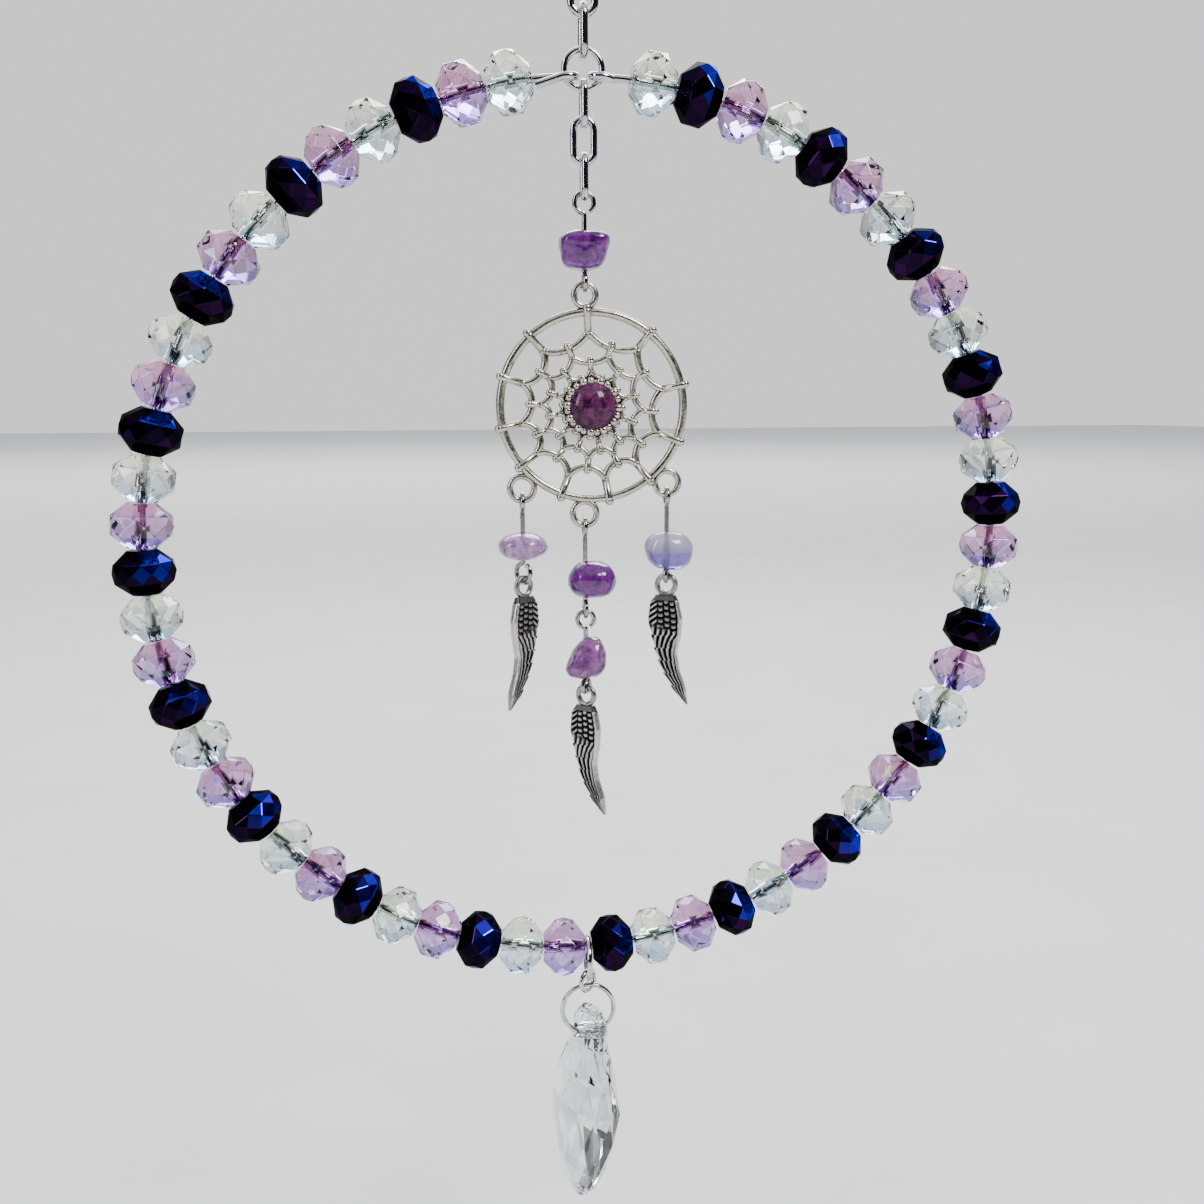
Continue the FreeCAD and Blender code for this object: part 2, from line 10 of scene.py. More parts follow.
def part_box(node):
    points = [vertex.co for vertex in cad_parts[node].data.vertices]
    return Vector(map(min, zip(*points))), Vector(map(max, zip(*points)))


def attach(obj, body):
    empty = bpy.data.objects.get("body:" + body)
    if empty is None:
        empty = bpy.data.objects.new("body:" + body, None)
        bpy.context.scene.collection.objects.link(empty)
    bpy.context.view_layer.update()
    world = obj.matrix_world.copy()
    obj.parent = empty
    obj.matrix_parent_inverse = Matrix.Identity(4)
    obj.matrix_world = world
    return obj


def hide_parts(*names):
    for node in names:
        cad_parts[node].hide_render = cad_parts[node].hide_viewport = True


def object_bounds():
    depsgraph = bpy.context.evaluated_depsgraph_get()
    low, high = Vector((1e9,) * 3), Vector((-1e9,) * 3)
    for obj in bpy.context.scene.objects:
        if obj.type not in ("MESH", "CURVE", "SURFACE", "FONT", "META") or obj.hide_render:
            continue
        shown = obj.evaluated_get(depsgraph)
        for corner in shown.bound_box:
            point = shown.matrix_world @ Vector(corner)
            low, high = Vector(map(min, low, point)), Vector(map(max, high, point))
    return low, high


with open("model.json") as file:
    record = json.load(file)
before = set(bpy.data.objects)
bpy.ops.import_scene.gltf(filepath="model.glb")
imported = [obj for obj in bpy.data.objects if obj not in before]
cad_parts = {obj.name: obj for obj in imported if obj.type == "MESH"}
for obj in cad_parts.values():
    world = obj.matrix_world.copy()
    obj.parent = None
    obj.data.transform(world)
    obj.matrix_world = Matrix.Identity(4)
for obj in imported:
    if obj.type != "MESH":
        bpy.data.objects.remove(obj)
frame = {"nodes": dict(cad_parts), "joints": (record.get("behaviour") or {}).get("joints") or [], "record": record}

MM = 0.001
CAD_BOX = [list(corner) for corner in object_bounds()]
NODES = frame["nodes"]
BODY_OF = {node: body for body, members in frame["record"]["behaviour"]["bodies"].items()
           for node in members}
SLOT_OF = {part["node"]: part["material_slot"] for part in frame["record"]["subparts"]}
PIVOT = {joint["child"]: Vector(joint["pos_m"]) for joint in frame["joints"]}
UP = Vector((0, 0, 1))
BACK = Vector((0, 1, 0))


# ------------------------------------------------------------ shader helpers
MIX_FACTOR, MIX_FIRST, MIX_SECOND, MIX_RESULT = 0, 6, 7, 2    # sockets of a Mix node for colours


class Shader:
    """A Principled material whose noise is laid out in millimetres of the object's own space."""

    def __init__(self, name, **settings):
        self.material = bpy.data.materials.new(name)
        self.material.use_nodes = True
        self.nodes = self.material.node_tree.nodes
        self.links = self.material.node_tree.links
        self.bsdf = self.nodes["Principled BSDF"]
        self.output = self.nodes["Material Output"]
        for socket, value in settings.items():
            self.bsdf.inputs[socket.replace("_", " ")].default_value = value
        place = self.nodes.new("ShaderNodeTexCoord")
        scale = self.nodes.new("ShaderNodeMapping")
        scale.inputs["Scale"].default_value = (1000, 1000, 1000)
        self.links.new(place.outputs["Object"], scale.inputs["Vector"])
        self.mm = scale.outputs["Vector"]

    def noise(self, per_mm, detail=3.0, distortion=0.0):
        made = self.nodes.new("ShaderNodeTexNoise")
        made.inputs["Scale"].default_value = per_mm
        made.inputs["Detail"].default_value = detail
        made.inputs["Distortion"].default_value = distortion
        self.links.new(self.mm, made.inputs["Vector"])
        return made.outputs["Fac"]

    def height(self):
        """Height in millimetres in the object's own space."""
        made = self.nodes.new("ShaderNodeSeparateXYZ")
        self.links.new(self.mm, made.inputs["Vector"])
        return made.outputs["Z"]

    def fronting(self):
        """1 where the surface faces the object's own front or back, 0 on its sides."""
        place = self.nodes.new("ShaderNodeTexCoord")
        split = self.nodes.new("ShaderNodeSeparateXYZ")
        size = self.nodes.new("ShaderNodeMath")
        size.operation = "ABSOLUTE"
        self.links.new(place.outputs["Normal"], split.inputs["Vector"])
        self.links.new(split.outputs["Y"], size.inputs[0])
        return size.outputs["Value"]

    def attribute(self, name):
        made = self.nodes.new("ShaderNodeAttribute")
        made.attribute_name = name
        return made.outputs["Color"]

    def ramp(self, source, stops):
        made = self.nodes.new("ShaderNodeValToRGB")
        elements = made.color_ramp.elements
        while len(elements) < len(stops):
            elements.new(0.5)
        for element, (at, colour) in zip(elements, stops):
            element.position = at
            element.color = (*colour, 1)
        self.links.new(source, made.inputs["Fac"])
        return made.outputs["Color"]

    def spread(self, source, low, high, start=0.3, end=0.7):
        made = self.nodes.new("ShaderNodeMapRange")
        made.inputs["From Min"].default_value = start
        made.inputs["From Max"].default_value = end
        made.inputs["To Min"].default_value = low
        made.inputs["To Max"].default_value = high
        self.links.new(source, made.inputs["Value"])
        return made.outputs["Result"]

    def mix(self, factor, first, second, blend="MIX"):
        made = self.nodes.new("ShaderNodeMix")
        made.data_type = "RGBA"
        made.blend_type = blend
        for socket, value in ((made.inputs[MIX_FACTOR], factor), (made.inputs[MIX_FIRST], first),
                              (made.inputs[MIX_SECOND], second)):
            if isinstance(value, bpy.types.NodeSocket):
                self.links.new(value, socket)
            else:
                socket.default_value = value if isinstance(value, float) else (*value, 1)
        return made.outputs[MIX_RESULT]

    def feed(self, socket, source):
        self.links.new(source, self.bsdf.inputs[socket])
        return self

    def bump(self, source, strength, height_mm):
        made = self.nodes.new("ShaderNodeBump")
        made.inputs["Strength"].default_value = strength
        made.inputs["Distance"].default_value = height_mm * MM
        self.links.new(source, made.inputs["Height"])
        self.links.new(made.outputs["Normal"], self.bsdf.inputs["Normal"])
        return self

    def crevices(self, reach_mm):
        """Painted shade: dark where the surface is shut in, from ambient occlusion."""
        made = self.nodes.new("ShaderNodeAmbientOcclusion")
        made.samples = 8
        made.only_local = True
        made.inputs["Distance"].default_value = reach_mm * MM
        return made.outputs["AO"]

    def absorb(self, colour, density):
        made = self.nodes.new("ShaderNodeVolumeAbsorption")
        made.inputs["Color"].default_value = (*colour, 1)
        made.inputs["Density"].default_value = density
        self.links.new(made.outputs["Volume"], self.output.inputs["Volume"])
        return self


def plated(name, bright, worn, rough_low, rough_high, scratch):
    """Polished plated wire: cloudy polish, faint drawn scratches."""
    made = Shader(name, Metallic=1.0)
    cloud = made.noise(0.9, 4.0)
    fine = made.noise(9.0, 3.0, 0.6)
    made.feed("Base Color", made.ramp(cloud, [(0.30, worn), (0.62, bright)]))
    made.feed("Roughness", made.spread(fine, rough_low, rough_high))
    return made.bump(fine, scratch, 0.02).material


def antique(name, bright, tarnish_and_shade):
    """Cast white metal with random rubbed wear and tarnished pits, and painted shade on its sides and in recesses.
    """
    made = Shader(name, Metallic=1.0)
    pits = made.noise(1.3, 5.0, 0.4)
    soft = made.noise(0.6, 2.0)
    dulled = tuple(0.72 * value for value in bright)
    rubbed = made.mix(made.spread(soft, 0.0, 1.0, 0.35, 0.65), dulled, bright)
    pitted = made.mix(made.spread(pits, 0.60, 0.0, 0.31, 0.37), rubbed, tarnish_and_shade)
    # painted shade: recesses and junctions between strands darken toward the tarnished tone
    painted_recess_shade = made.spread(made.crevices(0.60), 0.0, 1.0, 0.50, 0.85)
    # painted shade: surfaces turning away from the front darken toward the tarnished tone, drawing dark outlines
    painted_side_shade = made.mix(made.spread(made.fronting(), 0.22, 1.0, 0.15, 0.70), tarnish_and_shade, pitted)
    made.feed("Base Color", made.mix(painted_recess_shade, tarnish_and_shade, painted_side_shade))
    made.feed("Roughness", made.spread(pits, 0.36, 0.16))
    return made.bump(pits, 0.35, 0.05).material


def glass(name, ior, film, rough=0.015, mark=0.15):
    """Cut glass with a colour on each facet, on the beads with painted reflections, and the faint smears of
    handling.
    """
    made = Shader(name, Transmission_Weight=1.0, IOR=ior, Thin_Film_Thickness=film,
                  Thin_Film_IOR=1.45)
    made.feed("Base Color", made.attribute("tint_and_reflection"))
    made.feed("Roughness", made.spread(made.noise(0.8, 4.0, 0.8), 0.0, rough, 0.5, 0.8))
    return made.bump(made.noise(1.3, 2.0), mark, 0.01).material


def dark_coated(name):
    """Black glass under a blue-violet metallic coat, with painted reflections in its facet colours."""
    made = Shader(name, Metallic=0.97, Specular_IOR_Level=0.3,
                  Specular_Tint=(0.10, 0.06, 0.16, 1.0), Coat_Weight=0.03, Coat_Roughness=0.03)
    cloud = made.noise(0.7, 3.0, 0.5)
    patchy = made.ramp(cloud, [(0.30, (0.62, 0.55, 0.75)), (0.65, (1.0, 1.0, 1.0))])
    made.feed("Base Color", made.mix(1.0, made.attribute("tint_and_reflection"), patchy, "MULTIPLY"))
    made.feed("Roughness", made.spread(cloud, 0.05, 0.13))
    return made.bump(made.noise(2.2, 2.0), 0.15, 0.01).material


CROWN_FADE = (0.42, 0.62)     # where a stone turns to its crown's colour, in parts of its height


def amethyst(name, deep, pale, clearness, depth_colour, density, veins=1.2, crown=None,
             gloss=0.5, wax=0.15):
    """Tumbled quartz with cloudy bands and a waxy polish; crown is (node, colour at its top)."""
    made = Shader(name, Transmission_Weight=clearness, IOR=1.54, Specular_IOR_Level=gloss,
                  Coat_Weight=wax, Coat_Roughness=0.05)
    cloud = made.noise(0.55, 5.0, veins)
    vein = made.noise(1.9, 6.0, veins)
    between = tuple((a + b) / 2 for a, b in zip(deep, pale))
    banded = made.ramp(cloud, [(0.34, deep), (0.50, between), (0.66, pale)])
    colour = made.mix(made.spread(vein, 0.0, 0.45, 0.5, 0.7), banded, pale)
    if crown:
        node, tone = crown
        low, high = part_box(node)
        fade = [(low.z + share * (high.z - low.z)) / MM for share in CROWN_FADE]
        colour = made.mix(made.spread(made.height(), 0.0, 1.0, *fade), colour, tone)
    made.feed("Base Color", colour)
    made.feed("Roughness", made.spread(vein, 0.04, 0.20))
    made.bump(vein, 0.25, 0.04)
    return made.absorb(depth_colour, density).material


def feathered_charm(name):
    """Antique charm metal, black in the grooves between the feathers and rubbed on top."""
    made = Shader(name, Metallic=1.0)
    grain = made.noise(2.2, 5.0, 0.4)
    tarnished = made.ramp(made.attribute("groove"), [(0.38, (0.006, 0.006, 0.006)),
                                                     (0.72, (0.15, 0.145, 0.14)),
                                                     (0.95, (0.58, 0.57, 0.54))])
    stained = made.spread(grain, 0.0, 0.45, 0.54, 0.70)
    made.feed("Base Color", made.mix(stained, tarnished, (0.06, 0.055, 0.05)))
    made.feed("Roughness", made.spread(grain, 0.22, 0.42))
    return made.bump(grain, 0.4, 0.04).material


MATERIALS = {
    "bright_metal": plated("bright_metal", (0.60, 0.60, 0.61), (0.42, 0.42, 0.43), 0.03, 0.12, 0.2),
    "hoop_wire_metal": plated("hoop_wire_metal", (0.58, 0.58, 0.58), (0.40, 0.40, 0.41), 0.04, 0.14,
                              0.25),
    "pin_wire": plated("pin_wire", (0.42, 0.41, 0.39), (0.20, 0.19, 0.18), 0.06, 0.18, 0.35),
    # the antique casting's second colour is its tarnished tone, also used for painted shade on its sides and in
    # recesses
    "antique_casting": antique("antique_casting", (0.60, 0.565, 0.49), (0.045, 0.034, 0.026)),
    "antique_charm": feathered_charm("antique_charm_feathers"),
    "cabochon_stone": amethyst("cabochon_stone", (0.012, 0.002, 0.018), (0.15, 0.030, 0.105), 0.10,
                               (0.5, 0.25, 0.55), 120.0, 2.0, gloss=0.16, wax=0.0),
    "amethyst_deep": amethyst("amethyst_deep", (0.032, 0.002, 0.085), (0.27, 0.022, 0.36), 0.50,
                              (0.26, 0.04, 0.50), 420.0),
    "amethyst_mid": amethyst("amethyst_mid", (0.08, 0.018, 0.13), (0.50, 0.20, 0.50), 0.55,
                             (0.46, 0.15, 0.56), 260.0),
    "amethyst_pale": amethyst("amethyst_pale", (0.27, 0.11, 0.38), (0.70, 0.46, 0.70), 0.52,
                              (0.60, 0.34, 0.70), 180.0, 1.8),
    "amethyst_clear": amethyst("amethyst_clear", (0.10, 0.06, 0.50), (0.44, 0.33, 0.80), 0.72,
                               (0.55, 0.46, 0.80), 120.0,
                               crown=("right_stone", (0.60, 0.57, 0.60))),
    "clear_glass": glass("clear_glass", 1.53, 0.0),
    "lilac_glass": glass("lilac_glass", 1.54, 380.0),
    "dark_glass": dark_coated("dark_glass"),
    "crystal_glass": glass("crystal_glass", 1.56, 0.0, 0.03),
}


# ------------------------------------------------------------ mesh helpers
def finished(name, bm, node, smooth):
    """Turn a bmesh into a piece that stands for a CAD node."""
    bmesh.ops.recalc_face_normals(bm, faces=bm.faces)
    mesh = bpy.data.meshes.new(name)
    bm.to_mesh(mesh)
    bm.free()
    mesh.polygons.foreach_set("use_smooth", [smooth] * len(mesh.polygons))
    piece = bpy.data.objects.new(name, mesh)
    bpy.context.scene.collection.objects.link(piece)
    slot = SLOT_OF[node]
    mesh.materials.append(MATERIALS[slot])
    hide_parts(node)
    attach(piece, BODY_OF[node])
    return piece


def across_and_along(axis):
    """Two directions square to an axis."""
    side = axis.cross(BACK if abs(axis.y) < 0.9 else UP).normalized()
    return side, axis.cross(side).normalized()


def tube(bm, points, radii, sides=14):
    """Round rod through points, with a radius at each."""
    rings = []
    for number, point in enumerate(points):
        ahead, behind = points[min(number + 1, len(points) - 1)], points[max(number - 1, 0)]
        side, up = across_and_along((ahead - behind).normalized())
        ring = []
        for k in range(sides):
            angle = 2 * math.pi * k / sides
            out = side * math.cos(angle) + up * math.sin(angle)
            ring.append(bm.verts.new(point + out * radii[number]))
        rings.append(ring)
    for first, second in zip(rings, rings[1:]):
        for k in range(sides):
            after = (k + 1) % sides
            bm.faces.new((first[k], first[after], second[after], second[k]))
    bm.faces.new(rings[0][::-1])
    bm.faces.new(rings[-1])


def ball(bm, centre, radius):
    matrix = Matrix.Translation(centre) @ Matrix.Diagonal((radius, radius, radius, 1))
    bmesh.ops.create_icosphere(bm, subdivisions=3, radius=1.0, matrix=matrix)


SWELLS_PER_M = 700
SWELL_BIAS = 0.2              # keeps a wavy wire mostly inside its plain outline


def hoop_of(bm, centre, axis, middle_radius, wire_radius, steps=64, waviness=0.0, sides=14):
    """Closed ring; waviness makes the cast wire swell and thin a little."""
    side, up = across_and_along(axis)
    turns = [2 * math.pi * j / sides for j in range(sides)]
    rings = []
    for k in range(steps):
        angle = 2 * math.pi * k / steps
        point = centre + (side * math.cos(angle) + up * math.sin(angle)) * middle_radius
        swell = noise.noise(point * SWELLS_PER_M)
        radius = wire_radius * (1 + waviness * (swell - SWELL_BIAS))
        outward = (point - centre).normalized()
        rings.append([bm.verts.new(point + (outward * math.cos(turn) + axis * math.sin(turn))
                                   * radius) for turn in turns])
    for number, ring in enumerate(rings):
        following = rings[(number + 1) % steps]
        for j in range(sides):
            after = (j + 1) % sides
            bm.faces.new((ring[j], ring[after], following[after], following[j]))


# ------------------------------------------------------------ cut glass
BORE_EDGE = 4.0 * MM          # edges longer than this belong to a bead's bore
SHORT_EDGE = 0.55 * MM        # and shorter ones to the bore's rim
WELD = 0.002 * MM
FLAT, SHARP = math.radians(1), math.radians(6)
BEAD_CHAMFER, DROP_CHAMFER = 0.055 * MM, 0.07 * MM


def cut_glass(node, name, chamfer, keep, tint_and_reflection):
    """The CAD facets with their edges ground off slightly, and a colour for each facet, on the beads with painted
    reflections.
    """
    bm = bmesh.new()
    bm.from_mesh(NODES[node].data)
    bmesh.ops.remove_doubles(bm, verts=bm.verts, dist=WELD)
    bmesh.ops.dissolve_limit(bm, angle_limit=FLAT, verts=bm.verts, edges=bm.edges)
    sharp = [edge for edge in bm.edges
             if len(edge.link_faces) == 2 and edge.calc_face_angle(0) > SHARP and keep(edge)]
    bmesh.ops.bevel(bm, geom=sharp, offset=chamfer, offset_type="OFFSET", segments=1,
                    profile=0.5, affect="EDGES", clamp_overlap=True)
    bmesh.ops.recalc_face_normals(bm, faces=bm.faces)
    layer = bm.loops.layers.float_color.new("tint_and_reflection")
    for face in bm.faces:
        colour = tint_and_reflection(face.normal, face.calc_center_median())
        for loop in face.loops:
            loop[layer] = (*colour, 1)
    return finished(name, bm, node, False)


SPREAD_PER_M = 1900            # fine enough to tell neighbouring facets apart


def blended(first, second, share):
    share = min(max(share, 0.0), 1.0)
    return [a + (b - a) * share for a, b in zip(first, second)]


def chance(point, salt):
    """Steady number from 0 to 1 for a facet."""
    return 0.5 + 0.5 * noise.noise(point * SPREAD_PER_M + Vector((salt, 2 * salt, 3 * salt)))


def clear_tint_and_reflection(normal, centre):
    warm, white, sky = (0.80, 0.84, 0.48), (0.97, 0.97, 0.95), (0.38, 0.64, 0.96)
    grey = (0.34, 0.38, 0.41)
    # painted reflection: facets that face up turn warm and facets that face down turn sky blue; the grey facets
    # fall at random
    lift = normal.z + 0.6 * (chance(centre, 1.7) - 0.5)
    body = blended(white, warm, lift * 1.3) if lift > 0 else blended(white, sky, -lift * 1.4)
    return blended(body, grey, (chance(centre, 6.2) - 0.54) * 4.5)


def lilac_tint_and_reflection(normal, centre):
    rose, pale, violet = (0.48, 0.21, 0.28), (0.66, 0.42, 0.66), (0.24, 0.17, 0.90)
    # painted reflection: facets that face up turn rose and facets that face down turn violet; the dark facets fall
    # at random
    lift = normal.z + 0.8 * (chance(centre, 5.1) - 0.5)
    body = blended(pale, rose, lift * 1.6) if lift > 0 else blended(pale, violet, -lift * 1.4)
    return blended(body, (0.24, 0.11, 0.22), (chance(centre, 2.6) - 0.57) * 4.0)


def dark_tint_and_reflection(normal, centre):
    black, plum, royal = (0.002, 0.001, 0.005), (0.020, 0.003, 0.034), (0.035, 0.025, 0.85)
    # painted reflection: facets facing up, to the right and toward front or back turn royal blue; black and plum
    # vary at random
    sheen = 0.42 * normal.x + 0.42 * normal.z + 0.62 * abs(normal.y)
    lit = (sheen - 0.66) * 4.5 + 2.2 * (chance(centre, 9.3) - 0.58)
    base = blended(black, plum, (chance(centre, 3.3) - 0.35) * 2.2)
    return blended(base, royal, lit)


def bead_edge(edge):
    return SHORT_EDGE < edge.calc_length() < BORE_EDGE


BEAD_TINTS_AND_REFLECTIONS = {"clear": clear_tint_and_reflection, "dark": dark_tint_and_reflection, "lilac": lilac_tint_and_reflection}
for node in sorted(NODES):
    if "_beads_" in node:
        cut_glass(node, "cut_" + node, BEAD_CHAMFER, bead_edge, BEAD_TINTS_AND_REFLECTIONS[node.split("_")[0]])

DROP_HOLE_DOWN = 3.0 * MM
DROP_HOLE_EDGE = 1.15 * MM    # radius that holds all of the bore's rim
DROP_SHORT_EDGE = 0.5 * MM
drop_low, drop_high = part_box("crystal_drop")
drop_hole = Vector((0, (drop_low.y + drop_high.y) / 2, drop_high.z - DROP_HOLE_DOWN))


def drop_edge(edge):
    middle = (edge.verts[0].co + edge.verts[1].co) / 2
    aside = math.hypot(middle.y - drop_hole.y, middle.z - drop_hole.z)
    return aside > DROP_HOLE_EDGE and edge.calc_length() > DROP_SHORT_EDGE


def drop_tint(normal, centre):
    body = blended((0.97, 0.98, 0.97), (0.46, 0.58, 0.66), (chance(centre, 4.4) - 0.42) * 3)
    return blended(body, (0.16, 0.19, 0.21), (chance(centre, 7.9) - 0.56) * 4)


cut_glass("crystal_drop", "cut_crystal_drop", DROP_CHAMFER, drop_edge, drop_tint)


# ------------------------------------------------------------ tumbled stones
STONE_BORE = 0.40 * MM
MOUTH_RADIUS = 1.22 * MM
RIGHT_MOUTH = 0.80 * MM       # depth of the chipped mouth that the right pin's eye sits in
STONE_FIT = 0.992             # keeps a worn stone just inside its CAD box


def tumbled(node, name, seed, boxy, taper, lean, roughen, mouth=0.0):
    """Worn stone that fills its CAD box, bored for its pin; boxy 2 is an egg, more is squarer."""
    low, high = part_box(node)
    centre, half = (low + high) / 2, (high - low) / 2
    bm = bmesh.new()
    bmesh.ops.create_icosphere(bm, subdivisions=5, radius=1.0)
    shift = Vector((seed, seed * 1.7, seed * 0.6))
    for vert in bm.verts:
        out = vert.co.normalized()
        reach = sum(abs(value) ** boxy for value in out) ** (-1 / boxy)
        dent = noise.noise(out * 1.5 + shift) + 0.3 * noise.noise(out * 4.0 + shift)
        vert.co = out * (reach * (1 + roughen * dent))
        widen = 1 + taper * vert.co.z
        vert.co.x = vert.co.x * widen + lean * vert.co.z
        vert.co.y *= widen
    points = np.array([vert.co for vert in bm.verts])
    middle, span = (points.max(0) + points.min(0)) / 2, (points.max(0) - points.min(0)) / 2
    for vert in bm.verts:
        shape = [(vert.co[i] - middle[i]) / span[i] * half[i] * STONE_FIT for i in range(3)]
        vert.co = centre + Vector(shape)
    piece = finished(name, bm, node, True)
    pivot = PIVOT[node]
    drill = bmesh.new()
    bmesh.ops.create_cone(drill, cap_ends=True, segments=24, radius1=STONE_BORE,
                          radius2=STONE_BORE, depth=4 * half.z,
                          matrix=Matrix.Translation((pivot.x, pivot.y, centre.z)))
    if mouth:
        bmesh.ops.create_cone(drill, cap_ends=True, segments=32, radius1=MOUTH_RADIUS,
                              radius2=MOUTH_RADIUS, depth=2 * half.z,
                              matrix=Matrix.Translation((pivot.x, pivot.y,
                                                         low.z + mouth - half.z)))
    cutter_mesh = bpy.data.meshes.new("drill")
    drill.to_mesh(cutter_mesh)
    drill.free()
    cutter = bpy.data.objects.new("drill", cutter_mesh)
    bpy.context.scene.collection.objects.link(cutter)
    cut = piece.modifiers.new("bore", "BOOLEAN")
    cut.operation, cut.solver, cut.object = "DIFFERENCE", "EXACT", cutter
    cut.use_self = True
    bpy.context.view_layer.update()
    bored = bpy.data.meshes.new_from_object(
        piece.evaluated_get(bpy.context.evaluated_depsgraph_get()))
    piece.modifiers.clear()
    piece.data = bored
    bored.polygons.foreach_set("use_smooth", [True] * len(bored.polygons))
    bored.set_sharp_from_angle(angle=math.radians(50))
    bpy.data.objects.remove(cutter)
    bpy.data.meshes.remove(cutter_mesh)
    return piece


for node, *form in (("top_stone", 2.1, 3.4, 0.17, 0.05, 0.07),
                    ("left_stone", 5.3, 2.1, 0.0, 0.0, 0.04),
                    ("right_stone", 8.2, 2.3, 0.06, -0.06, 0.05, RIGHT_MOUTH),
                    ("centre_upper_stone", 3.7, 2.2, -0.05, 0.0, 0.05),
                    ("centre_lower_stone", 6.4, 2.6, -0.30, 0.22, 0.10)):
    tumbled(node, "tumbled_" + node, *form)


# ------------------------------------------------------------ cast web medallion
RING_MIDDLE = 12.025 * MM
RING_WIRE = 0.56 * MM
KNOTS = (-3, 39, 77, 112, 142, 170, 200, 231, 257, 288, 318)
ROUNDS = ((1.0, 0.79, 0.655), (0.655, 0.56, 0.465), (0.465, 0.385, 0.30))
STRAND = (0.45 * MM, 0.40 * MM, 0.35 * MM)
OVER = (0.50 * MM, 0.42 * MM, 0.36 * MM)     # a stem's bulb beyond the strand that it crosses
STEM_FORWARD = (0.20 * MM, 0.26 * MM, 0.12 * MM)    # at a stem's tip, crossing and inside
STEM_SWELL = (1.28, 1.22, 1.05, 1.18)
TIP_SWELL, FORK_SWELL, SPOT_SWELL = 1.34, 1.2, 1.5
BOW_SWELL = 0.16
BOW_STEPS = 16
CUP = 3.5 * MM
CUP_LIP = 3.08 * MM
CUP_FRONT, CUP_BACK = -0.92 * MM, 0.43 * MM
CUP_FLOOR = 0.28 * MM
CUP_STEPS = 66
BEZEL_RADIUS, BEZEL_FORWARD = 3.32 * MM, 0.30 * MM
BEZEL_BEADS = (0.58 * MM, 0.50 * MM)
LOOP_WIRE = 0.425 * MM
TOP_LOOP, SIDE_LOOP = 1.40 * MM, 1.575 * MM         # centre-line radii
TOP_LOOP_RISE = 0.785 * MM                          # its wire's top above the pin's wire
RING_RIPPLE, LOOP_RIPPLE = 0.05, 0.06
SIDE_LOOPS = ((-138.5, 14.1), (184.5, 14.0), (135.5, 14.1))


def round_point(centre, degrees, radius):
    angle = math.radians(degrees)
    return centre + Vector((radius * math.sin(angle), 0, radius * math.cos(angle)))


def bowed(first, lowest, last):
    """Points on the circle arc through three points that face the front."""
    a, b, c = (Vector((point.x, point.z)) for point in (first, lowest, last))
    turn = 2 * (a.x * (b.y - c.y) + b.x * (c.y - a.y) + c.x * (a.y - b.y))
    x = (a.dot(a) * (b.y - c.y) + b.dot(b) * (c.y - a.y) + c.dot(c) * (a.y - b.y)) / turn
    y = (a.dot(a) * (c.x - b.x) + b.dot(b) * (a.x - c.x) + c.dot(c) * (b.x - a.x)) / turn
    middle = Vector((x, y))
    start = math.atan2(a.y - y, a.x - x)

    def swing(point):
        return (math.atan2(point.y - y, point.x - x) - start) % (2 * math.pi)

    sweep = swing(c) if swing(b) < swing(c) else swing(c) - 2 * math.pi
    radius = (a - middle).length
    angles = [start + sweep * k / BOW_STEPS for k in range(BOW_STEPS + 1)]
    return [Vector((x + radius * math.cos(angle), first.y, y + radius * math.sin(angle)))
            for angle in angles]


def web_round(bm, centre, knots, reach, thick, over):
    """One round of the web: stems over the strands outside them, and bows from fork to fork."""
    knot_at, fork_at, sag_at = (share * RING_MIDDLE for share in reach)
    tip_forward, cross_forward, inside_forward = (BACK * -rise for rise in STEM_FORWARD)
    following = knots[1:] + [knots[0] + 360]
    halfway = [(a + b) / 2 for a, b in zip(knots, following)]
    for here, after, between in zip(knots, following, halfway):
        fork = round_point(centre, here, fork_at)
        tip = round_point(centre, here, knot_at + over) + tip_forward
        crossing = round_point(centre, here, knot_at) + cross_forward
        inside = round_point(centre, here, knot_at - over) + inside_forward
        tube(bm, [tip, crossing, inside, fork], [thick * swell for swell in STEM_SWELL])
        ball(bm, tip, thick * TIP_SWELL)
        bow = bowed(fork, round_point(centre, between, sag_at),
                    round_point(centre, after, fork_at))
        tube(bm, bow, [thick * (1 + BOW_SWELL * abs(2 * k / BOW_STEPS - 1))
                       for k in range(BOW_STEPS + 1)])
        ball(bm, fork, thick * FORK_SWELL)
    return halfway


def beaded_bezel(bm, centre, knots):
    """Short stems from the web to the stone cup, and a ring of beads round its lip."""
    thick = STRAND[-1]
    for knot in knots:
        spot = round_point(centre, knot, ROUNDS[-1][-1] * RING_MIDDLE + 0.3 * MM)
        tube(bm, [spot, round_point(centre, knot, CUP - 0.2 * MM)], [thick * 1.2, thick * 1.3])
        ball(bm, spot, thick * SPOT_SWELL)
        for aside, size in zip((0, 180 / len(knots)), BEZEL_BEADS):
            bead = round_point(centre, knot + aside, BEZEL_RADIUS)
            ball(bm, bead + BACK * (CUP_FRONT + BEZEL_FORWARD), size)


